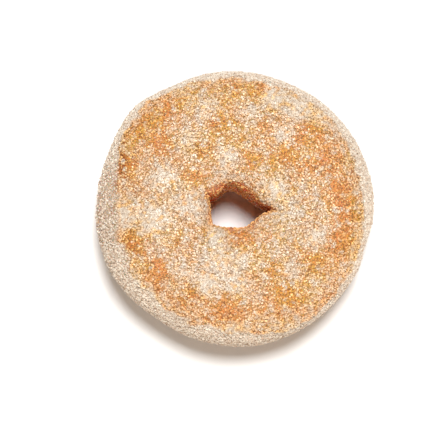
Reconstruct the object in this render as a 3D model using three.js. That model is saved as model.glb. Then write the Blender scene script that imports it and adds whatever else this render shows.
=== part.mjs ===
// A sugared ring doughnut: one yeast-raised ring of fried dough, lying flat, as one closed solid.
// Millimetres, +Z up. The origin is on the surface that it rests on, under the middle of the ring.
import * as THREE from "three";
import { ParametricGeometry } from "three/addons/geometries/ParametricGeometry.js";

// Driving dimensions
const ACROSS = 90; // mean outer diameter
const HEIGHT = 32; // mean height of the ring before its underside settled
const SEAT_CUT = 0.6; // how much of the round underside has settled flat
const RISE_MORE = 0.6; // how much taller than the mean it is on the side that rose most
const RISE_SIDE = degrees(225);

// How square the section is: 2 is an ellipse, and more is squarer
const OUTER_SQUARENESS = 2.55;
const LIP_SQUARENESS = 5.5; // of the hole's upper half, which turns over in a tight lip
const SKIRT_SQUARENESS = 3; // of its lower half

// The pale belt round the outside, between the two browned faces. It lies a little below the crust.
const BELT_REACH = 0.64; // how far up and down it reaches, as a share of the half height
const BELT_EDGE = 0.1; // the width of its rounded edge, as the same share
const BELT_DEPTH = 0.45;

// Where the belt's upper edge is higher or lower, as a share of the half height
const BELT_SHIFTS = [
  hump(21, 39, 0.09),
  hump(182, 28, 0.28),
  hump(223, 21, 0.15),
  hump(264, 17, 0.15),
  hump(307, 26, -0.06),
  hump(342, 10, -0.11),
];

// Swells and dents of the outer side
const SWELLS = [
  hump(55, 16, -0.9),
  hump(98, 16, -0.4),
  hump(135, 13, 1.75),
  hump(196, 24, 1.15),
  hump(233, 14, -0.7),
  hump(318, 18, -0.6),
  hump(343, 10, -1.3),
];

// The hole closed up unevenly as the dough rose, so it has flat sides with round corners between them.
// Each side is a direction from the ring's axis and a distance along it.
const HOLE_SIDES = [
  { facing: degrees(183), away: 8.5 },
  { facing: degrees(135), away: 6.7 },
  { facing: degrees(94), away: 6.5 },
  { facing: degrees(54), away: 5 },
  { facing: degrees(310), away: 7.55 },
  { facing: degrees(268), away: 7.2 },
  { facing: degrees(227), away: 9.7 },
];
const HOLE_CORNER = 22; // the higher, the sharper its corners

// Creases run out of two corners of the hole. The top of each is turned back from its middle by the lean.
const CREASES = [hump(353.5, 9, 1.35), hump(168, 8, 1.1)];
const CREASE_LEAN = degrees(6.5);

// Low lumps all over the dough, as waves that cross it in many directions
const LUMP_HEIGHT = 0.24; // root mean square
const LUMP_WAVES = 28;
const LUMP_SHORTEST = 13; // from crest to crest
const LUMP_LONGEST = 34;
const GOLDEN_ANGLE = Math.PI * (3 - Math.sqrt(5)); // spreads directions and phases evenly

// Facets
const STEPS_AROUND = 120;
const STEPS_IN_SECTION = 36;

function degrees(value) {
  return THREE.MathUtils.degToRad(value);
}

// The angle between two directions, from -PI to PI.
function turnBetween(a, b) {
  return Math.atan2(Math.sin(a - b), Math.cos(a - b));
}

// A smooth hump round the ring: its middle and its width in degrees, and its height.
function hump(middle, width, height) {
  return { at: degrees(middle), wide: degrees(width), height };
}

function sumOfHumps(around, humps) {
  return humps.reduce((total, { at, wide, height }) => {
    const steps = turnBetween(around, at) / wide;
    return total + height * Math.exp(-steps * steps);
  }, 0);
}

// Radius of the hole: a polygon whose corners are rounded by a power sum over its sides, and its creases.
function holeRadius(around, rise) {
  const sum = HOLE_SIDES.reduce((total, side) => {
    const reach = Math.max(0, Math.cos(around - side.facing)) / side.away;
    return total + reach ** HOLE_CORNER;
  }, 0);
  return sum ** (-1 / HOLE_CORNER) + sumOfHumps(around + CREASE_LEAN * rise, CREASES);
}

function squarenessAt(section) {
  if (Math.cos(section) > 0) return OUTER_SQUARENESS;
  return Math.sin(section) > 0 ? LIP_SQUARENESS : SKIRT_SQUARENESS;
}

// Height of the low lumps at a point: a sum of plane waves whose directions spiral evenly over a sphere.
function lumps(point) {
  const direction = new THREE.Vector3();
  let sum = 0;
  for (let k = 0; k < LUMP_WAVES; k++) {
    const polar = Math.acos(1 - (2 * k + 1) / LUMP_WAVES);
    direction.setFromSphericalCoords(1, polar, k * GOLDEN_ANGLE);
    const share = (k * GOLDEN_ANGLE) % 1;
    const wavelength = THREE.MathUtils.lerp(LUMP_SHORTEST, LUMP_LONGEST, share);
    sum += Math.cos((2 * Math.PI * direction.dot(point)) / wavelength + k * k * GOLDEN_ANGLE);
  }
  return LUMP_HEIGHT * Math.sqrt(2 / LUMP_WAVES) * sum;
}

// How far the surface lies below the crust: the belt's depth outside the ring, fading out at its edges.
function beltDepth(around, section, rise) {
  if (Math.cos(section) < 0) return 0;
  const shift = rise > 0 ? sumOfHumps(around, BELT_SHIFTS) : 0;
  const edge = BELT_REACH + shift;
  return BELT_DEPTH * (1 - THREE.MathUtils.smoothstep(Math.abs(rise), edge - BELT_EDGE, edge));
}

// A point of the skin. u runs round the ring, and v round its section from the belt over the crown.
function doughSkin(u, v, target) {
  const around = u * 2 * Math.PI;
  const section = v * 2 * Math.PI;

  const squareness = squarenessAt(section);
  const across = Math.abs(Math.cos(section)) ** squareness;
  const upward = Math.abs(Math.sin(section)) ** squareness;
  const reach = (across + upward) ** (-1 / squareness);
  const rise = reach * Math.sin(section);

  const outer = ACROSS / 2 + sumOfHumps(around, SWELLS);
  const hole = holeRadius(around, rise);
  const halfHeight = (HEIGHT + RISE_MORE * Math.cos(around - RISE_SIDE)) / 2;
  const middle = (outer + hole) / 2;
  const halfWidth = (outer - hole) / 2;
  const place = (grow) => {
    const radius = middle + (halfWidth * reach + grow) * Math.cos(section);
    const height = HEIGHT / 2 + halfHeight * rise + grow * Math.sin(section) - SEAT_CUT;
    return target.set(radius * Math.cos(around), radius * Math.sin(around), height);
  };
  place(lumps(place(0)) - beltDepth(around, section, rise));
  target.z = Math.max(0, target.z);
}

function ringOfDough() {
  const geometry = new ParametricGeometry(doughSkin, STEPS_AROUND, STEPS_IN_SECTION);
  geometry.computeBoundingBox();
  const middle = geometry.boundingBox.getCenter(new THREE.Vector3());
  geometry.translate(-middle.x, -middle.y, 0);
  const sugaredCrust = new THREE.MeshStandardMaterial({
    color: 0xd9a468,
    roughness: 0.85,
    metalness: 0,
  });
  const mesh = new THREE.Mesh(geometry, sugaredCrust);
  mesh.name = "ring_of_dough";
  return mesh;
}

const doughnut = new THREE.Group();
doughnut.add(ringOfDough());

export default doughnut;
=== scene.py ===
"""The looks of a sugared ring doughnut: a fried ring with a pale belt, and the sugar that sticks to it.

Shapes are worked out in millimetres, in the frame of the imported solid, and go into Blender in metres.
"""

import math

import bpy
import numpy as np
from mathutils import Matrix, Vector


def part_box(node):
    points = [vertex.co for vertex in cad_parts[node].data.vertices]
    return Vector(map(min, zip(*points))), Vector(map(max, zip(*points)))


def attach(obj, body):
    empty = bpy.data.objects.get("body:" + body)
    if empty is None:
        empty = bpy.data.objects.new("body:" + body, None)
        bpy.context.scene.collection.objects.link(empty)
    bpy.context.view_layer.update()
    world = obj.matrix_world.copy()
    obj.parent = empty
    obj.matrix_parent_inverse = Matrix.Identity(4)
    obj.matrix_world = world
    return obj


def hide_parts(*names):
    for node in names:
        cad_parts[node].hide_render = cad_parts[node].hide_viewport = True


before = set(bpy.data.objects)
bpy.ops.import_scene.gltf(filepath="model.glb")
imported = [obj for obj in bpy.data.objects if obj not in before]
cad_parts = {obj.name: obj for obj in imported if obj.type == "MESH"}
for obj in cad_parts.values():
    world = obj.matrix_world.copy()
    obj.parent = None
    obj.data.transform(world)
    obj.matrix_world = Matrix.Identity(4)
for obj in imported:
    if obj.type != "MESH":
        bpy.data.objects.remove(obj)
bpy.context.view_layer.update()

MM = 0.001
TURN = 2 * math.pi

# The ring, with the solid's own values
ACROSS = 90  # mean outer diameter
HEIGHT = 32  # mean height before the underside settled
SEAT_CUT = 0.6  # how much of the round underside has settled flat
RISE_MORE = 0.6  # how much taller than the mean it is on the side that rose most
RISE_SIDE = math.radians(225)
OUTER_SQUARENESS = 2.55  # of the section: 2 is an ellipse, and more is squarer
LIP_SQUARENESS = 5.5  # of the hole's upper half
SKIRT_SQUARENESS = 3.0  # of its lower half
BELT_DEPTH = 0.45  # how far the belt lies below the crust
BELT_EDGE = 0.1  # the width of its rounded edge, as a share of the half height
LUMP_HEIGHT = 0.24  # root mean square
LUMP_WAVES = 28
LUMP_SHORTEST = 13  # from crest to crest
LUMP_LONGEST = 34
GOLDEN_ANGLE = math.pi * (3 - math.sqrt(5))  # spreads directions and phases evenly
SOLID_STEPS_AROUND = 120
SOLID_STEPS_IN_SECTION = 36

# Swells and dents of the outer side: degrees round the ring, width in degrees, and how far out
SWELLS = [
    (55, 16, -0.9),
    (98, 16, -0.4),
    (135, 13, 1.75),
    (196, 24, 1.15),
    (233, 14, -0.7),
    (318, 18, -0.6),
    (343, 10, -1.3),
]

# Flat sides of the hole: direction in degrees, and distance from the ring's axis
HOLE_SIDES = [
    (183, 8.5),
    (135, 6.7),
    (94, 6.5),
    (54, 5.0),
    (310, 7.55),
    (268, 7.2),
    (227, 9.7),
]
HOLE_CORNER = 22  # the higher, the sharper its corners

# Creases run out of two corners of the hole: degrees round the ring, width in degrees, and how far out.
# The top of each is turned back from its middle by the lean.
CREASES = [
    (353.5, 9, 1.35),
    (168, 8, 1.1),
]
CREASE_LEAN = math.radians(6.5)

# The upper border of the belt, as a share of the half height: its mean, and where it is higher or lower
BORDER = 0.64
BORDER_SHIFTS = [
    (21, 39, 0.09),
    (182, 28, 0.28),
    (223, 21, 0.15),
    (264, 17, 0.15),
    (307, 26, -0.06),
    (342, 10, -0.11),
]

# Random ripples: shortest and longest wave, number of waves, and seed
BORDER_WAVES = (2.5, 9, 24, 12)
PUCKER_WAVES = (4, 10, 40, 21)
PORE_WAVES = (1.8, 4, 48, 22)
WALL_WAVES = (1.5, 5, 32, 23)
WIDE_PATCH_WAVES = (5, 12, 40, 31)
SMALL_PATCH_WAVES = (1.4, 4.5, 64, 32)
BELT_PATCH_WAVES = (2, 8, 56, 33)
SPOT_EDGE_WAVES = (1.2, 3.5, 48, 34)

# Relief of the dough that is finer than the solid's
BORDER_RAGGED = 0.025  # as a share of the half height
BORDER_RADIUS = 40  # of the circle along which the border's ripples are read
PUCKER_HEIGHT = 0.07
PORE_HEIGHT = 0.035
SEAT_LIFT = 0.3  # how far up the dough's seat is: the sugar under it reaches down to the floor

# Grid of the skin
STEPS_AROUND = 430
STEPS_IN_SECTION = 216
NORMAL_STEP = 0.004  # turn between the points that give a normal, in radians

# Where the crust stays pale further up over the border, or is browned further down, as the border's share
PALER = [
    (84, 24, 0.12),
    (4, 36, 0.06),
    (200, 10, 0.045),
    (300, 26, -0.06),
]
BROWNED_FROM = -0.05  # where the crust starts to brown, counted from that border
BROWNED_TO = 0.02  # where it is fully browned

# The dark line along the border: its place above it, its width, its mean strength, and where that differs
TOASTED_ABOVE = 0.04
TOASTED_WIDE = 0.05
TOASTED_MEAN = 0.4
TOASTED = [
    (162, 12, 0.9),
    (285, 14, 0.6),
    (90, 26, -0.4),
]
BARE_TOASTED = 0.15  # how much darker the crust is where it is bare

# How far the wall's bare dough reaches over the hole's lip: its mean, and where it reaches more or less
WALL_BARE = 0.9
WALL_BARER = [
    (52, 30, 0.8),
    (146, 22, 1.6),
    (190, 18, -0.3),
    (258, 16, 1.7),
    (303, 12, 1.8),
    (347, 9, 1.4),
]
WALL_RAGGED = 0.3
WALL_BARE_BELOW = 3.0  # how much further it reaches below the ring's middle
WALL_BELOW = 0.3  # the share of the half height in which it comes to that
WALL_FADE = 0.4  # half the width of its soft edge

# Where sugar lies thick on the crown, and where it is thin: x, y and radius, and how much
HEAPS = [
    (-22.5, 8.0, 3.2, 0.9),
    (-25.0, -4.0, 4.0, 0.8),
    (-26.5, -8.0, 3.0, 0.6),
    (-15.0, -1.0, 3.4, 0.9),
    (-2.0, 15.0, 3.0, 0.8),
    (-3.5, 9.5, 2.6, 0.3),
    (13.0, 4.5, 3.0, 1.0),
    (-8.5, -26.5, 3.6, 0.9),
    (-0.5, -26.0, 3.4, 0.7),
    (-6.0, -12.0, 2.8, 0.7),
    (-5.5, -19.0, 3.6, 0.7),
    (12.0, 34.5, 3.0, 1.3),
    (20.5, 31.5, 4.0, 0.9),
    (27.5, 27.0, 3.4, 0.5),
    (-9.0, 29.0, 3.0, 0.6),
    (4.5, 30.0, 3.0, 0.4),
    (15.5, 22.0, 2.2, 0.8),
    (1.0, -18.0, 3.0, 0.4),
    (18.0, -3.0, 4.5, 0.3),
    (17.0, -22.0, 3.0, 0.4),
    (-16.5, -22.0, 3.5, 0.4),
    (-1.0, -40.0, 3.0, 0.8),
    (-14.0, 20.0, 3.0, 0.5),
    (-36.0, -4.5, 4.0, 1.0),
    (25.5, -11.5, 3.0, 0.6),
]
BARE_SPOTS = [
    (-26.5, 26.5, 3.4, 0.9),
    (-20.5, 31.0, 3.2, 0.8),
    (-31.5, 22.0, 3.0, 0.9),
    (-35.5, 12.5, 3.5, 1.1),
    (-23.0, 19.0, 3.4, 0.9),
    (-4.5, 25.5, 3.4, 0.9),
    (-10.0, 17.0, 3.4, 0.6),
    (-14.0, 8.5, 3.0, 0.4),
    (0.5, 37.0, 4.0, 0.45),
    (7.5, 36.5, 3.0, 0.4),
    (5.5, 13.5, 3.0, 0.7),
    (12.5, 12.5, 4.0, 0.4),
    (3.0, 20.5, 3.2, 0.3),
    (10.0, 24.5, 3.2, 0.6),
    (17.5, 17.0, 3.4, 0.7),
    (23.0, 12.0, 3.4, 0.5),
    (25.0, 22.0, 3.6, 0.9),
    (29.5, 13.0, 3.6, 0.75),
    (33.5, 5.5, 3.5, 0.8),
    (35.5, -3.0, 4.0, 0.8),
    (33.5, -13.0, 3.2, 1.1),
    (24.5, -19.5, 3.4, 0.8),
    (17.0, -29.0, 3.4, 1.1),
    (11.5, -21.5, 3.0, 0.7),
    (9.5, -34.0, 3.0, 0.3),
    (-3.0, -33.5, 4.8, 0.8),
    (-14.0, -29.5, 3.2, 0.6),
    (-25.0, -22.0, 3.4, 1.0),
    (-32.0, -12.0, 3.2, 1.1),
    (2.0, -11.5, 3.2, 0.9),
    (-0.5, -8.5, 1.8, 0.9),
]

# Sugar: how much of the skin it hides on each part of the ring
COVER_CROWN = 0.48
COVER_RIM = 0.41
COVER_BELT = 0.80
COVER_UNDER = 0.30
COVER_WALL = 0.10
COVER_LEAST = 0.05
WALL_LEAST_LESS = 0.03  # how much lower that least is on the hole's wall
RIM_FROM = 27  # radius at which the crown's cover starts to turn into the rim's
RIM_TO = 38  # radius at which it has

# What changes that cover: spots and patches on the faces, and on the belt its lower part and patches
HEAP_MORE = 0.34
BARE_LESS = 0.53
SPOT_RAGGED = 0.7
WIDE_PATCHES = 0.03
SMALL_PATCHES = 0.11
BELT_PATCHES = 0.12
BELT_LOW_LESS = 0.25
BELT_LOW = (0.1, 0.6)  # shares of the half height between which that fades out

# Where the belt has less sugar, partly its own thin sugar and partly painted shade on its shaded left side:
# degrees round the ring, width in degrees, and how much less
BELT_THIN_SUGAR_AND_SHADE = [
    (178, 30, 0.6),
]

# Grains of sugar: their lengths on each part of the ring
CROWN_GRAIN = (0.37, 0.60)
COARSE_GRAIN = (0.42, 0.68)
HEAPED_GRAIN = (0.36, 0.56)
FINE_GRAIN = (0.26, 0.44)
HEAP_LIFT = 0.35  # how far above the others the grains of a heap lie at most
FIRST_SEED = 101  # of the random draws: each kind has its own

# The shape of a grain, and how it lies
GRAIN_WIDE = (0.75, 1.0)  # as a share of its length
GRAIN_THICK = (0.6, 0.9)  # as the same share
GRAIN_UNEVEN = 0.16  # how far a corner is out of place at most, as a share of the half size
GRAIN_SKEW = 0.12  # how far its top is pushed along it, as a share of the half length
GRAIN_TILT = 0.6  # root mean square, in radians
GRAIN_RISE = (0.2, 0.5)  # how far its middle is above the skin, as a share of its thickness
LIFT_SHARE = (0.2, 1)  # of the lift that its kind has

# How clear a grain and each of its faces are, and so how much of a darker colour they show, partly dough
# seen through and partly painted shade: the two shapes of a beta draw, and their shares in the sum
GRAIN_CLEAR = (0.8, 1.4)
FACE_SEE_THROUGH_AND_SHADE = (0.45, 0.9)
GRAIN_CLEAR_SHARE = 0.5
FACE_SEE_THROUGH_AND_SHADE_SHARE = 0.6
COVER_CLOUDS = 0.15  # how much less clear grains are where they lie thick
GOLDEN_COVER = (0.05, 0.85)  # the cover over which sugar on the crust turns from golden to white

# Blots in the finishes: how wide they are, and the two levels of noise between which their edge lies
MOTTLE_SIZE = 5.0
MOTTLE_EDGE = (0.32, 0.68)
ROSY_SIZE = 9.0
ROSY_EDGE = (0.4, 0.6)
# Dark dots on the dough: partly its own specks, partly painted shade of the gaps between sugar grains
DOT_AND_GAP_SHADE_SIZE = 0.6
DOT_AND_GAP_SHADE_EDGE = (0.44, 0.62)
SPECKLE_SIZE = 0.42
SPECKLE_EDGE = (0.46, 0.6)
PORE_SIZE = 0.7
PORE_DEPTH = 0.3
GRAIN_MOTTLE_SIZE = 0.3

# How strongly the blots tint what they lie on
ROSY_ON_CRUST = 0.5
# The dark dots, partly painted shade between grains, on the crust and on the belt
DOTS_AND_GAP_SHADE_ON_CRUST = 0.8
DOTS_AND_GAP_SHADE_ON_BELT = 0.7
ROSY_ON_SUGAR = 0.65

# The hole's wall turns from its lower to its upper colour, and then to the lip's, over these heights
FLESH_RISE = (-0.4, 0.1)
LIP_RISE = (0.68, 0.82)

# The dust of fine sugar on the dough
DUST_COVER = (0.12, 0.55)  # the cover over which it thickens
DUST_EVEN = 0.3  # how strong its even part is
DUST_SPECKLED = 0.5  # and its speckled part
WALL_DUST_LESS = 0.9  # the share of it that the hole's wall lacks

# How rough the dough is, and how much rougher under sugar
DOUGH_ROUGHNESS = 0.62
SUGAR_ROUGHER = 0.22

# Stage: a plain pale floor, its side in metres, and a faint warm light all round
FLOOR_SIDE = 6.0
FLOOR_COLOUR = (0.82, 0.805, 0.795, 1)
SKY_COLOUR = (1, 0.84, 0.68, 1)
SKY_LIGHT = 0.03

# Soft lamps, one above and behind and two warmer ones in front:
# degrees from +X, elevation, distance and size in metres, watts and colour
LAMPS = [
    ("key", 75, 76.0, 1.3, 0.40, 23.0, (0.98, 1.0, 1.01)),
    ("fill", 252, 55, 1.3, 0.6, 4.6, (1.0, 0.87, 0.73)),
    ("low", 285, 12, 1.3, 0.6, 7.6, (1.0, 0.95, 0.88)),
]
LAMPS_FACE = Vector((0, 0, 0.02))  # the point that they face

# The camera is nearly overhead and leans to the bottom of the picture, whose up is +Y.
IMAGE_SIDE = 447
SENSOR_WIDTH = 36
PIXELS_PER_MM = 3.07  # at the middle of the ring's height
CAMERA_AWAY = 0.5  # in metres
CAMERA_FROM = math.radians(270)
CAMERA_ELEVATION = math.radians(83.7)
PICTURE_RIGHT = 10.8  # how far right of the picture's middle the ring's middle is, in pixels
PICTURE_UP = 15.2  # how far above it
PICTURE_TOP = Vector((0, 1, 0))


def near(turn, places):
    """A sum of smooth humps round the ring: each place is degrees, width in degrees, and height."""
    total = np.zeros_like(turn)
    for at, wide, high in places:
        away = np.degrees(np.angle(np.exp(1j * (turn - math.radians(at)))))
        total += high * np.exp(-((away / wide) ** 2))
    return total


def spots(points, places):
    """A sum of smooth round spots seen from above: each place is x, y, radius and amount."""
    total = np.zeros(points.shape[:-1])
    for x, y, radius, amount in places:
        away = np.hypot(points[..., 0] - x, points[..., 1] - y) / radius
        total += amount * np.exp(-(away**2))
    return total


def ramp(value, low, high):
    """A smooth step from 0 at low to 1 at high."""
    share = np.clip((value - low) / (high - low), 0, 1)
    return share * share * (3 - 2 * share)


def ripples(points, shortest, longest, count, seed):
    """A smooth random field with a spread of 1: a sum of plane waves of seeded directions and phases."""
    draw = np.random.default_rng(seed)
    direction = draw.normal(size=(count, 3))
    direction /= np.linalg.norm(direction, axis=1, keepdims=True)
    length = draw.uniform(shortest, longest, count)
    phase = draw.uniform(0, TURN, count)
    angle = points @ (direction * TURN / length[:, None]).T + phase
    return math.sqrt(2 / count) * np.cos(angle).sum(axis=-1)


def lumps(points):
    """The solid's own low lumps: a sum of plane waves whose directions spiral evenly over a sphere."""
    total = np.zeros(points.shape[:-1])
    for k in range(LUMP_WAVES):
        polar = math.acos(1 - (2 * k + 1) / LUMP_WAVES)
        spin = k * GOLDEN_ANGLE
        x = math.sin(polar) * math.sin(spin)
        y = math.cos(polar)
        z = math.sin(polar) * math.cos(spin)
        length = LUMP_SHORTEST + (LUMP_LONGEST - LUMP_SHORTEST) * (spin % 1)
        total += np.cos(points @ np.array([x, y, z]) * TURN / length + k * spin)
    return LUMP_HEIGHT * math.sqrt(2 / LUMP_WAVES) * total


def hole_radius(around, rise):
    """A polygon with round corners, the power sum over its sides of cosine over distance, and creases."""
    total = np.zeros_like(around)
    for facing, away in HOLE_SIDES:
        reach = np.maximum(0, np.cos(around - math.radians(facing))) / away
        total += reach**HOLE_CORNER
    return total ** (-1 / HOLE_CORNER) + near(around + CREASE_LEAN * rise, CREASES)


def border(around):
    """Height of the belt's ragged border, as a share of the half height: a mean, shifts and ripples."""
    ring = np.stack([np.cos(around), np.sin(around), np.zeros_like(around)], axis=-1)
    ragged = BORDER_RAGGED * ripples(BORDER_RADIUS * ring, *BORDER_WAVES)
    return BORDER + near(around, BORDER_SHIFTS) + ragged


def skin_of(around, section, plain=False):
    """A point of the skin for each pair of angles, and its facts.

    A section is a rounded rectangle: the reach along an angle is the power sum of its cosine and sine.
    It stands between the hole's radius and the outer radius, and grows along its own angle by the relief.
    The plain skin has no puckers, no pores and no lifted seat.
    """
    outer = ACROSS / 2 + near(around, SWELLS)
    half_height = (HEIGHT + RISE_MORE * np.cos(around - RISE_SIDE)) / 2
    outside = np.cos(section) > 0
    inside = np.where(np.sin(section) > 0, LIP_SQUARENESS, SKIRT_SQUARENESS)
    squareness = np.where(outside, OUTER_SQUARENESS, inside)
    across = np.abs(np.cos(section)) ** squareness
    upward = np.abs(np.sin(section)) ** squareness
    reach = (across + upward) ** (-1 / squareness)
    rise = reach * np.sin(section)
    hole = hole_radius(around, rise)

    def place(grow):
        radius = (outer + hole) / 2 + ((outer - hole) / 2 * reach + grow) * np.cos(section)
        height = HEIGHT / 2 + half_height * rise + grow * np.sin(section) - SEAT_CUT
        return np.stack([radius * np.cos(around), radius * np.sin(around), height], axis=-1)

    edge = np.where(rise > 0, border(around), BORDER)
    crust = np.where(outside, ramp(np.abs(rise), edge - BELT_EDGE, edge), 1)
    middle = place(0)
    grow = lumps(middle) - BELT_DEPTH * (1 - crust)
    if not plain:
        grow += PUCKER_HEIGHT * crust * ripples(middle, *PUCKER_WAVES)
        grow += PORE_HEIGHT * ripples(middle, *PORE_WAVES)
    points = place(grow)
    points[..., 2] = np.maximum(points[..., 2], 0 if plain else SEAT_LIFT)
    inset = (outer - hole) / 2 * (1 + reach * np.cos(section))
    facts = {
        "rise": rise,
        "browned": np.where(outside, browning(around, rise, edge), 1),
        "toasted": np.where(outside, toasting(around, rise, edge), 0),
        "wall": np.where(outside, 0, bareness(around, rise, middle, inset)),
    }
    return points, facts


def browning(around, rise, edge):
    """How browned the crust is: a smooth step over the border, shifted where the crust is paler."""
    paler = near(around, PALER)
    return ramp(np.abs(rise), edge + paler + BROWNED_FROM, edge + paler + BROWNED_TO)


def toasting(around, rise, edge):
    """How dark the line along the border is: a bell over the height, times a mean and humps."""
    above = rise - edge - near(around, PALER) - TOASTED_ABOVE
    return np.exp(-((above / TOASTED_WIDE) ** 2)) * (TOASTED_MEAN + near(around, TOASTED))


def bareness(around, rise, middle, inset):
    """How bare the dough by the hole is: a smooth step over the distance from the hole's wall."""
    bare = WALL_BARE + near(around, WALL_BARER) + WALL_RAGGED * ripples(middle, *WALL_WAVES)
    bare = bare + WALL_BARE_BELOW * ramp(-rise, 0, WALL_BELOW)
    return 1 - ramp(inset, bare - WALL_FADE, bare + WALL_FADE)


def turns(steps):
    """Angles from 0 to a full turn, both ends among them."""
    return np.linspace(0, TURN, steps + 1)


def shift_to_solid():
    """How far the formula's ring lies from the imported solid: from the middle of its box to the solid's."""
    around, section = np.meshgrid(turns(SOLID_STEPS_AROUND), turns(SOLID_STEPS_IN_SECTION), indexing="ij")
    points = skin_of(around, section, plain=True)[0].reshape(-1, 3)
    low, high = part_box("ring_of_dough")
    solid = (np.array(low) + np.array(high)) / 2 / MM
    shift = solid - (points.min(axis=0) + points.max(axis=0)) / 2
    return np.array([shift[0], shift[1], 0])


SHIFT = shift_to_solid()


def skin_at(around, section):
    """The skin in the solid's frame: points, outward unit normals by small steps, and facts."""
    points, facts = skin_of(around, section)
    along = skin_of(around + NORMAL_STEP, section)[0] - points
    over = skin_of(around, section + NORMAL_STEP)[0] - points
    normals = np.cross(along, over)
    normals /= np.linalg.norm(normals, axis=-1, keepdims=True)
    return points + SHIFT, normals, facts


def cover_of(points, facts):
    """The share of the skin that sugar hides: a level for each part, with spots and seeded patches."""
    radius = np.hypot(points[..., 0], points[..., 1])
    crown = COVER_CROWN + (COVER_RIM - COVER_CROWN) * ramp(radius, RIM_FROM, RIM_TO)
    ragged = 1 + SPOT_RAGGED * ripples(points, *SPOT_EDGE_WAVES)
    crown = crown + ragged * (HEAP_MORE * spots(points, HEAPS) - BARE_LESS * spots(points, BARE_SPOTS))
    faces = np.where(facts["rise"] > 0, crown, COVER_UNDER)
    faces = faces + WIDE_PATCHES * ripples(points, *WIDE_PATCH_WAVES)
    faces = faces + SMALL_PATCHES * ripples(points, *SMALL_PATCH_WAVES)
    low = 1 - ramp(facts["rise"], *BELT_LOW)
    turn = np.arctan2(points[..., 1], points[..., 0])
    # Less sugar on the belt's left: partly real, partly painted shade of that shaded side
    belt = COVER_BELT - BELT_LOW_LESS * low - near(turn, BELT_THIN_SUGAR_AND_SHADE)
    belt = belt + BELT_PATCHES * ripples(points, *BELT_PATCH_WAVES)
    cover = belt + (faces - belt) * facts["browned"]
    cover = cover + (COVER_WALL - cover) * facts["wall"]
    least = COVER_LEAST - WALL_LEAST_LESS * facts["wall"]
    return np.clip(cover, least, 1)


def put_mesh(name, points, corners, sizes, uv, smooth):
    """A mesh in metres from whole arrays: points, the faces' corners in turn, their sizes and their UV."""
    mesh = bpy.data.meshes.new(name)
    mesh.vertices.add(len(points))
    mesh.vertices.foreach_set("co", (points * MM).astype(np.float32).ravel())
    mesh.loops.add(len(corners))
    mesh.loops.foreach_set("vertex_index", corners.astype(np.int32))
    mesh.polygons.add(len(sizes))
    starts = np.concatenate([[0], np.cumsum(sizes)[:-1]])
    mesh.polygons.foreach_set("loop_start", starts.astype(np.int32))
    mesh.polygons.foreach_set("loop_total", sizes.astype(np.int32))
    mesh.polygons.foreach_set("use_smooth", np.full(len(sizes), smooth))
    layer = mesh.uv_layers.new(name="OFBake")
    layer.data.foreach_set("uv", uv.astype(np.float32).ravel())
    mesh.update(calc_edges=True)
    mesh.validate()
    piece = bpy.data.objects.new(name, mesh)
    bpy.context.scene.collection.objects.link(piece)
    return piece


def mark(piece, name, values, part="POINT"):
    """A value for each point or face of a piece, for its material to read."""
    layer = piece.data.attributes.new(name, "FLOAT", part)
    layer.data.foreach_set("value", values.astype(np.float32).ravel())


class Skin:
    """The skin on its grid, with the cover of sugar, and the area of each cell for scattering."""

    def __init__(self):
        around = np.arange(STEPS_AROUND) * TURN / STEPS_AROUND
        section = np.arange(STEPS_IN_SECTION) * TURN / STEPS_IN_SECTION
        points, self.facts = skin_of(*np.meshgrid(around, section, indexing="ij"))
        self.points = points + SHIFT
        self.cover = cover_of(self.points, self.facts)
        along = np.roll(self.points, -1, axis=0) - self.points
        over = np.roll(self.points, -1, axis=1) - self.points
        self.area = np.linalg.norm(np.cross(along, over), axis=-1)


def ring_of_fried_dough(skin):
    """The skin as a closed mesh: each cell of the grid is a face, and both ends of the grid meet."""
    rows, columns = skin.cover.shape
    row, column = np.meshgrid(np.arange(rows), np.arange(columns), indexing="ij")
    steps = [(0, 0), (1, 0), (1, 1), (0, 1)]
    corners = [(row + a) % rows * columns + (column + b) % columns for a, b in steps]
    uv = [np.stack([(row + a) / rows, (column + b) / columns], axis=-1) for a, b in steps]
    piece = put_mesh(
        "fried_dough",
        skin.points.reshape(-1, 3),
        np.stack(corners, axis=-1).ravel(),
        np.full(rows * columns, len(steps)),
        np.stack(uv, axis=-2).reshape(-1, 2),
        smooth=True,
    )
    above = skin.facts["rise"] > 0
    bare = above * np.clip(spots(skin.points, BARE_SPOTS), 0, 1)
    mark(piece, "browned", skin.facts["browned"])
    mark(piece, "toasted", skin.facts["toasted"] + BARE_TOASTED * bare)
    mark(piece, "wall", skin.facts["wall"])
    mark(piece, "rise", skin.facts["rise"])
    mark(piece, "cover", skin.cover)
    return piece


# A grain's corners and faces: a block, and a wedge for the smaller ones
BLOCK_POINTS = np.array(
    [[-1, -1, -1], [1, -1, -1], [1, 1, -1], [-1, 1, -1], [-1, -1, 1], [1, -1, 1], [1, 1, 1], [-1, 1, 1]]
)
BLOCK_FACES = [(0, 3, 2, 1), (4, 5, 6, 7), (0, 1, 5, 4), (1, 2, 6, 5), (2, 3, 7, 6), (3, 0, 4, 7)]
BLOCK = (BLOCK_POINTS, BLOCK_FACES)
WEDGE_POINTS = np.array([[-1, -1, -1], [1, -1, -1], [0, 1, -1], [-1, -1, 1], [1, -1, 1], [0, 1, 1]])
WEDGE_FACES = [(0, 2, 1), (3, 4, 5), (0, 1, 4, 3), (1, 2, 5, 4), (2, 0, 3, 5)]
WEDGE = (WEDGE_POINTS, WEDGE_FACES)

# Where a face's corners lie in its own cell of the UV map
FACE_CELL = np.array([[0.1, 0.1], [0.9, 0.1], [0.9, 0.9], [0.1, 0.9]])


def scatter(weight, count, draw):
    """Places for grains: even steps through the summed weights of the cells, and a place in each."""
    total = np.cumsum(weight.ravel())
    step = (np.arange(count) + draw.uniform(size=count)) / count * total[-1]
    cell = np.minimum(np.searchsorted(total, step), total.size - 1)
    row, column = np.unravel_index(cell, weight.shape)
    around = (row + draw.uniform(size=count)) * TURN / weight.shape[0]
    section = (column + draw.uniform(size=count)) * TURN / weight.shape[1]
    return around, section


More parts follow.
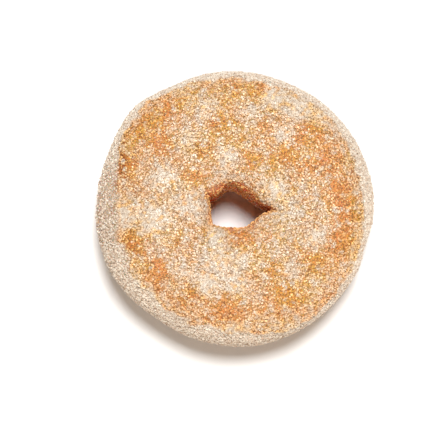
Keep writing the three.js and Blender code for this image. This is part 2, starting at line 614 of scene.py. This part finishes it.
def grain_corners(form, width, count, draw):
    """Corners of uneven grains about the origin, a form moved, skewed and sized, and their thickness."""
    long = draw.uniform(*width, count)
    wide = long * draw.uniform(*GRAIN_WIDE, count)
    thick = long * draw.uniform(*GRAIN_THICK, count)
    size = np.stack([long, wide, thick], axis=-1)
    uneven = form[None] * (1 + draw.uniform(-GRAIN_UNEVEN, GRAIN_UNEVEN, (count, *form.shape)))
    uneven[..., 0] += GRAIN_SKEW * uneven[..., 2]
    return uneven * size[:, None] / 2, thick


def grain_axes(normals, around, draw):
    """Three axes for each grain: spun at random about the skin's normal, then tilted about the first."""
    count = len(around)
    spin = draw.uniform(0, TURN, count)
    tilt = draw.normal(0, GRAIN_TILT, count)
    flat = np.stack([-np.sin(around), np.cos(around), np.zeros(count)], axis=-1)
    side = np.cross(normals, flat)
    side /= np.linalg.norm(side, axis=-1, keepdims=True)
    front = np.cross(normals, side)
    first = np.cos(spin)[:, None] * side + np.sin(spin)[:, None] * front
    level = np.cross(normals, first)
    second = np.cos(tilt)[:, None] * level + np.sin(tilt)[:, None] * normals
    return first, second, np.cross(first, second)


def grain_faces(form, faces, count):
    """Corners, sizes and UV of the faces of many like grains: each face has its own cell in the map."""
    order = np.concatenate([np.array(face) for face in faces])
    corners = np.arange(count)[:, None] * len(form) + order
    sizes = np.tile([len(face) for face in faces], count)
    across = math.ceil(math.sqrt(sizes.size))
    number = np.arange(sizes.size)
    cell = np.stack([number % across, number // across], axis=-1)
    pattern = np.tile(np.concatenate([FACE_CELL[: len(face)] for face in faces]), (count, 1))
    uv = (np.repeat(cell, sizes, axis=0) + pattern) / across
    return corners.ravel(), sizes, uv


def crystals(skin, seed, name, where, count, width, shape, lift):
    """Grains of sugar of one kind as one mesh.

    Each is a skewed block or wedge with uneven corners, turned at random about the skin's normal,
    tilted a little, and sunk in the dough by part of its thickness or lifted on to other grains.
    """
    draw = np.random.default_rng(seed)
    around, section = scatter(skin.area * where, count, draw)
    places, normals, facts = skin_at(around, section)

    form, faces = shape
    grains, thick = grain_corners(form, width, count, draw)
    axes = grain_axes(normals, around, draw)
    turned = sum(grains[..., k, None] * axis[:, None] for k, axis in enumerate(axes))
    rise = thick * draw.uniform(*GRAIN_RISE, count) + lift * draw.uniform(*LIFT_SHARE, count)
    points = places[:, None] + normals[:, None] * rise[:, None, None] + turned
    points[..., 2] += np.maximum(0, -points[..., 2].min(axis=1))[:, None]
    piece = put_mesh(name, points.reshape(-1, 3), *grain_faces(form, faces, count), smooth=False)

    grain_clear = draw.beta(*GRAIN_CLEAR, count)
    # Each face's share of the darker colour: partly the dough seen through it, partly painted shade of dark
    # facets
    face_see_through_and_shade = draw.beta(*FACE_SEE_THROUGH_AND_SHADE, (count, len(faces)))
    cover = cover_of(places, facts)
    clouded = 1 - COVER_CLOUDS * cover * facts["browned"]
    see_through_and_shade_share = GRAIN_CLEAR_SHARE * grain_clear[:, None] + FACE_SEE_THROUGH_AND_SHADE_SHARE * face_see_through_and_shade
    golden = facts["browned"] * (1 - ramp(cover, *GOLDEN_COVER))
    mark(piece, "see_through_and_shade_share", see_through_and_shade_share * clouded[:, None], "FACE")
    mark(piece, "golden", np.repeat(golden, len(faces)), "FACE")
    mark(piece, "browned", np.repeat(facts["browned"], len(faces)), "FACE")
    return piece


def sugar_kinds(skin):
    """Each kind of sugar: name, where it lies, number of grains, and their length, shape and lift."""
    above = skin.facts["rise"] > 0
    browned = skin.facts["browned"] > 0.5
    crown = skin.cover * (above & browned)
    belt = skin.cover * ~browned
    under = skin.cover * (~above & browned)
    heaps = np.clip(spots(skin.points, HEAPS) - spots(skin.points, BARE_SPOTS), 0, 1)
    heaps = (above & browned) * heaps * (1 - skin.facts["wall"])
    return [
        ("sugar_on_crown", crown, 13000, CROWN_GRAIN, BLOCK, 0.0),
        ("sugar_on_belt", belt, 12500, COARSE_GRAIN, BLOCK, 0.0),
        ("sugar_under", under, 8500, COARSE_GRAIN, BLOCK, 0.0),
        ("sugar_in_heaps", heaps, 6000, HEAPED_GRAIN, BLOCK, HEAP_LIFT),
        ("fine_sugar_on_crown", crown, 18000, FINE_GRAIN, WEDGE, 0.0),
        ("fine_sugar_on_belt", belt, 16000, FINE_GRAIN, WEDGE, 0.0),
        ("fine_sugar_under", under, 12000, FINE_GRAIN, WEDGE, 0.0),
    ]


def linear(red, green, blue):
    """A colour for a shader, from the 0 to 255 of a screen, by a screen's standard curve."""
    share = np.array([red, green, blue]) / 255
    return (*np.where(share <= 0.04045, share / 12.92, ((share + 0.055) / 1.055) ** 2.4), 1.0)


# Colours of the dough. A pair is the two ends of a blend.
GOLDEN_CRUST = (linear(213, 136, 63), linear(225, 161, 76))
ROSY_CRUST = linear(216, 132, 86)
TOASTED_CRUST = linear(182, 100, 44)
# Dark dots on the crust: partly its own specks, partly painted shade of the gaps between grains
CRUST_DOT_AND_GAP_SHADE = linear(110, 70, 38)
PALE_BELT = (linear(208, 173, 146), linear(220, 190, 162))
# Dark dots on the belt: partly its own specks, partly painted shade of the gaps between grains
BELT_DOT_AND_GAP_SHADE = linear(156, 114, 86)
WALL_FLESH = (linear(252, 174, 134), linear(244, 134, 80))
HOLE_LIP = linear(206, 136, 100)
BELT_DUST = linear(216, 184, 152)
CRUST_DUST = linear(206, 158, 108)

# Colours of the sugar: on the belt, in heaps, and thinly spread over the crust
BELT_SUGAR = (linear(227, 213, 193), linear(233, 225, 211))
HEAPED_SUGAR = (linear(219, 205, 185), linear(228, 218, 203))
GOLDEN_SUGAR = (linear(251, 198, 119), linear(253, 214, 143))
ROSY_SUGAR = linear(251, 191, 133)

# What the clearest grains show in the same places: partly the dough seen through them, partly painted shade
# of dark facets and the gaps between grains
BELT_SUGAR_SEE_THROUGH_AND_SHADE = linear(179, 145, 117)
HEAPED_SUGAR_SEE_THROUGH_AND_SHADE = linear(146, 111, 83)
GOLDEN_SUGAR_SEE_THROUGH_AND_SHADE = linear(142, 91, 49)


class Wire:
    """A shader's value that Python's operators work on: each adds the Math node that it stands for."""

    def __init__(self, finish, socket):
        self.finish = finish
        self.socket = socket

    def math(self, operation, first, second):
        """A Math node on two values or wires."""
        return self.finish.node("ShaderNodeMath", {"operation": operation}, {0: first, 1: second})

    def __add__(self, other):
        return self.math("ADD", self, other)

    def __radd__(self, other):
        return self.math("ADD", other, self)

    def __sub__(self, other):
        return self.math("SUBTRACT", self, other)

    def __rsub__(self, other):
        return self.math("SUBTRACT", other, self)

    def __mul__(self, other):
        return self.math("MULTIPLY", self, other)

    def __rmul__(self, other):
        return self.math("MULTIPLY", other, self)


class Finish:
    """A material whose nodes are added one by one, with its Principled shader as base."""

    def __init__(self, name):
        self.material = bpy.data.materials.new(name)
        self.material.use_nodes = True
        self.tree = self.material.node_tree
        self.base = self.tree.nodes["Principled BSDF"]

    def put(self, socket, value):
        """Gives a socket a link or a plain value."""
        if isinstance(value, Wire):
            self.tree.links.new(value.socket, socket)
        else:
            socket.default_value = value

    def node(self, kind, settings, sockets, output=0):
        """Any node: settings are set first, then sockets, by number or name. Returns one output."""
        made = self.tree.nodes.new(kind)
        for name, value in settings.items():
            setattr(made, name, value)
        for name, value in sockets.items():
            self.put(made.inputs[name], value)
        return Wire(self, made.outputs[output])

    def place(self):
        """The point of the surface, in metres."""
        return self.node("ShaderNodeTexCoord", {}, {}, "Object")

    def marked(self, name):
        """A value that the mesh holds for each point or face."""
        return self.node("ShaderNodeAttribute", {"attribute_name": name}, {}, "Fac")

    def noise(self, size, detail=2.0, rough=0.5):
        """Smooth noise from 0 to 1 whose blots are about this many millimetres wide."""
        sockets = {"Vector": self.place(), "Scale": 1 / (size * MM), "Detail": detail, "Roughness": rough}
        return self.node("ShaderNodeTexNoise", {}, sockets, "Fac")

    def between(self, value, low, high):
        """A smooth step of a value from 0 at low to 1 at high."""
        sockets = {"Value": value, "From Min": low, "From Max": high}
        return self.node("ShaderNodeMapRange", {"interpolation_type": "SMOOTHSTEP"}, sockets)

    def blend(self, share, first, second):
        """A colour between two."""
        settings = {"data_type": "RGBA", "clamp_factor": True}
        return self.node("ShaderNodeMix", settings, {0: share, 6: first, 7: second}, 2)

    def bump(self, height, depth):
        """A normal bent by a height from 0 to 1 that stands for this many millimetres."""
        return self.node("ShaderNodeBump", {}, {"Height": height, "Distance": depth * MM, "Strength": 1.0})

    def surface(self, **sockets):
        """Sets the base shader's sockets, with spaces for underscores."""
        for name, value in sockets.items():
            self.put(self.base.inputs[name.replace("_", " ")], value)
        return self.material


def fried_dough_finish():
    """Golden crust, mottled and dotted with specks and painted gap shade, a pale belt, a rosy wall in the
    hole, and a dust of sugar.
    """
    finish = Finish("fried_dough")
    browned = finish.marked("browned")
    toasted = finish.marked("toasted")
    wall = finish.marked("wall")
    rise = finish.marked("rise")
    cover = finish.marked("cover")
    mottle = finish.between(finish.noise(MOTTLE_SIZE, detail=3.0), *MOTTLE_EDGE)
    rosy = finish.between(finish.noise(ROSY_SIZE), *ROSY_EDGE)
    # Dark dots: partly the dough's own specks, partly painted shade of the gaps between sugar grains
    dots_and_gap_shade = finish.between(finish.noise(DOT_AND_GAP_SHADE_SIZE, detail=3.0, rough=0.6), *DOT_AND_GAP_SHADE_EDGE)
    speckle = finish.between(finish.noise(SPECKLE_SIZE, detail=1.0), *SPECKLE_EDGE)
    pores = finish.noise(PORE_SIZE, detail=4.0, rough=0.65)

    golden = finish.blend(mottle, *GOLDEN_CRUST)
    golden = finish.blend(ROSY_ON_CRUST * rosy, golden, ROSY_CRUST)
    brown = finish.blend(toasted, golden, TOASTED_CRUST)
    crust = finish.blend(DOTS_AND_GAP_SHADE_ON_CRUST * dots_and_gap_shade, brown, CRUST_DOT_AND_GAP_SHADE)
    pale = finish.blend(mottle, *PALE_BELT)
    belt = finish.blend(DOTS_AND_GAP_SHADE_ON_BELT * dots_and_gap_shade, pale, BELT_DOT_AND_GAP_SHADE)
    outside = finish.blend(browned, belt, crust)
    flesh = finish.blend(finish.between(rise, *FLESH_RISE), *WALL_FLESH)
    bare = finish.blend(finish.between(rise, *LIP_RISE), flesh, HOLE_LIP)
    dough = finish.blend(wall, outside, bare)

    dust = finish.between(cover, *DUST_COVER) * (DUST_EVEN + DUST_SPECKLED * speckle)
    dust = dust * (1 - WALL_DUST_LESS * wall)
    dust_tint = finish.blend(browned, BELT_DUST, CRUST_DUST)
    return finish.surface(
        Base_Color=finish.blend(dust, dough, dust_tint),
        Roughness=DOUGH_ROUGHNESS + SUGAR_ROUGHER * cover,
        Normal=finish.bump(pores, PORE_DEPTH),
        Specular_IOR_Level=0.3,
        Subsurface_Weight=0.7,
        Subsurface_Radius=(1.0, 0.35, 0.15),
        Subsurface_Scale=10 * MM,
    )


def sugar_finish():
    """Sugar, pale on the belt and white to golden on the crust: clearer grains show more of a darker colour,
    partly the dough seen through and partly painted shade.
    """
    finish = Finish("sugar")
    see_through_and_shade_share = finish.marked("see_through_and_shade_share")
    golden = finish.marked("golden")
    browned = finish.marked("browned")
    mottle = finish.noise(GRAIN_MOTTLE_SIZE)
    rosy = finish.between(finish.noise(ROSY_SIZE), *ROSY_EDGE)

    pale = finish.blend(mottle, *BELT_SUGAR)
    white = finish.blend(mottle, *HEAPED_SUGAR)
    cream = finish.blend(mottle, *GOLDEN_SUGAR)
    cream = finish.blend(ROSY_ON_SUGAR * rosy, cream, ROSY_SUGAR)
    cloudy = finish.blend(browned, pale, finish.blend(golden, white, cream))
    # What clear grains show: partly the dough seen through them, partly painted shade of dark facets and
    # gaps between grains
    crust = finish.blend(golden, HEAPED_SUGAR_SEE_THROUGH_AND_SHADE, GOLDEN_SUGAR_SEE_THROUGH_AND_SHADE)
    see_through_and_shade = finish.blend(browned, BELT_SUGAR_SEE_THROUGH_AND_SHADE, crust)
    tint = finish.blend(see_through_and_shade_share, cloudy, see_through_and_shade)
    return finish.surface(Base_Color=tint, Roughness=0.38, Specular_IOR_Level=0.4)


def paint(piece, material):
    """Gives a piece its one material."""
    piece.data.materials.append(material)


def direction(turn, elevation):
    """A unit vector at an angle from +X towards +Y, and an elevation above the floor."""
    flat = math.cos(elevation)
    return Vector((flat * math.cos(turn), flat * math.sin(turn), math.sin(elevation)))


def looking(where, target):
    """A matrix at a place, facing a target along its -Z, with its +Y towards the picture's top."""
    back = (where - target).normalized()
    right = PICTURE_TOP.cross(back).normalized()
    up = back.cross(right)
    turn = Matrix((right, up, back)).transposed().to_4x4()
    return Matrix.Translation(where) @ turn


def white_floor():
    """A square with its middle under the ring."""
    half = FLOOR_SIDE / 2
    corners = [(-half, -half, 0), (half, -half, 0), (half, half, 0), (-half, half, 0)]
    mesh = bpy.data.meshes.new("floor")
    mesh.from_pydata(corners, [], [(0, 1, 2, 3)])
    floor = bpy.data.objects.new("floor", mesh)
    bpy.context.scene.collection.objects.link(floor)
    paint(floor, Finish("white_floor").surface(Base_Color=FLOOR_COLOUR, Roughness=0.9))
    return floor


def light_all_round():
    """The faint light of the room, with colours shown as they are."""
    room = bpy.data.worlds.new("white_room")
    room.use_nodes = True
    sky = room.node_tree.nodes["Background"]
    sky.inputs["Color"].default_value = SKY_COLOUR
    sky.inputs["Strength"].default_value = SKY_LIGHT
    bpy.context.scene.world = room
    bpy.context.scene.view_settings.view_transform = "Standard"


def hang_lamp(name, turn, elevation, away, across, power, colour):
    """A round soft lamp that faces the ring."""
    lamp = bpy.data.objects.new(name, bpy.data.lights.new(name, "AREA"))
    lamp.data.shape = "DISK"
    lamp.data.size = across
    lamp.data.energy = power
    lamp.data.color = colour
    lamp_at = direction(math.radians(turn), math.radians(elevation)) * away
    lamp.matrix_world = looking(lamp_at, LAMPS_FACE)
    bpy.context.scene.collection.objects.link(lamp)


def place_camera():
    """A camera whose picture has the photo's scale at the middle of the ring's height."""
    camera = bpy.data.objects.new("camera", bpy.data.cameras.new("camera"))
    camera.data.sensor_width = SENSOR_WIDTH
    camera.data.lens = SENSOR_WIDTH * PIXELS_PER_MM / MM * CAMERA_AWAY / IMAGE_SIDE
    left = -PICTURE_RIGHT / PIXELS_PER_MM * MM
    down = -PICTURE_UP / PIXELS_PER_MM * MM
    target = Vector((left, down, HEIGHT / 2 * MM))
    camera_at = target + direction(CAMERA_FROM, CAMERA_ELEVATION) * CAMERA_AWAY
    camera.matrix_world = looking(camera_at, target)
    bpy.context.scene.collection.objects.link(camera)
    bpy.context.scene.camera = camera


# The ring of dough
skin = Skin()
fried_dough = ring_of_fried_dough(skin)
paint(fried_dough, fried_dough_finish())
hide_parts("ring_of_dough")

# The sugar on it
sugar = sugar_finish()
pieces = [fried_dough]
for seed, kind in enumerate(sugar_kinds(skin), FIRST_SEED):
    grains = crystals(skin, seed, *kind)
    paint(grains, sugar)
    pieces.append(grains)
for piece in pieces:
    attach(piece, "root")

# The stage
floor = white_floor()
light_all_round()
for lamp in LAMPS:
    hang_lamp(*lamp)
place_camera()
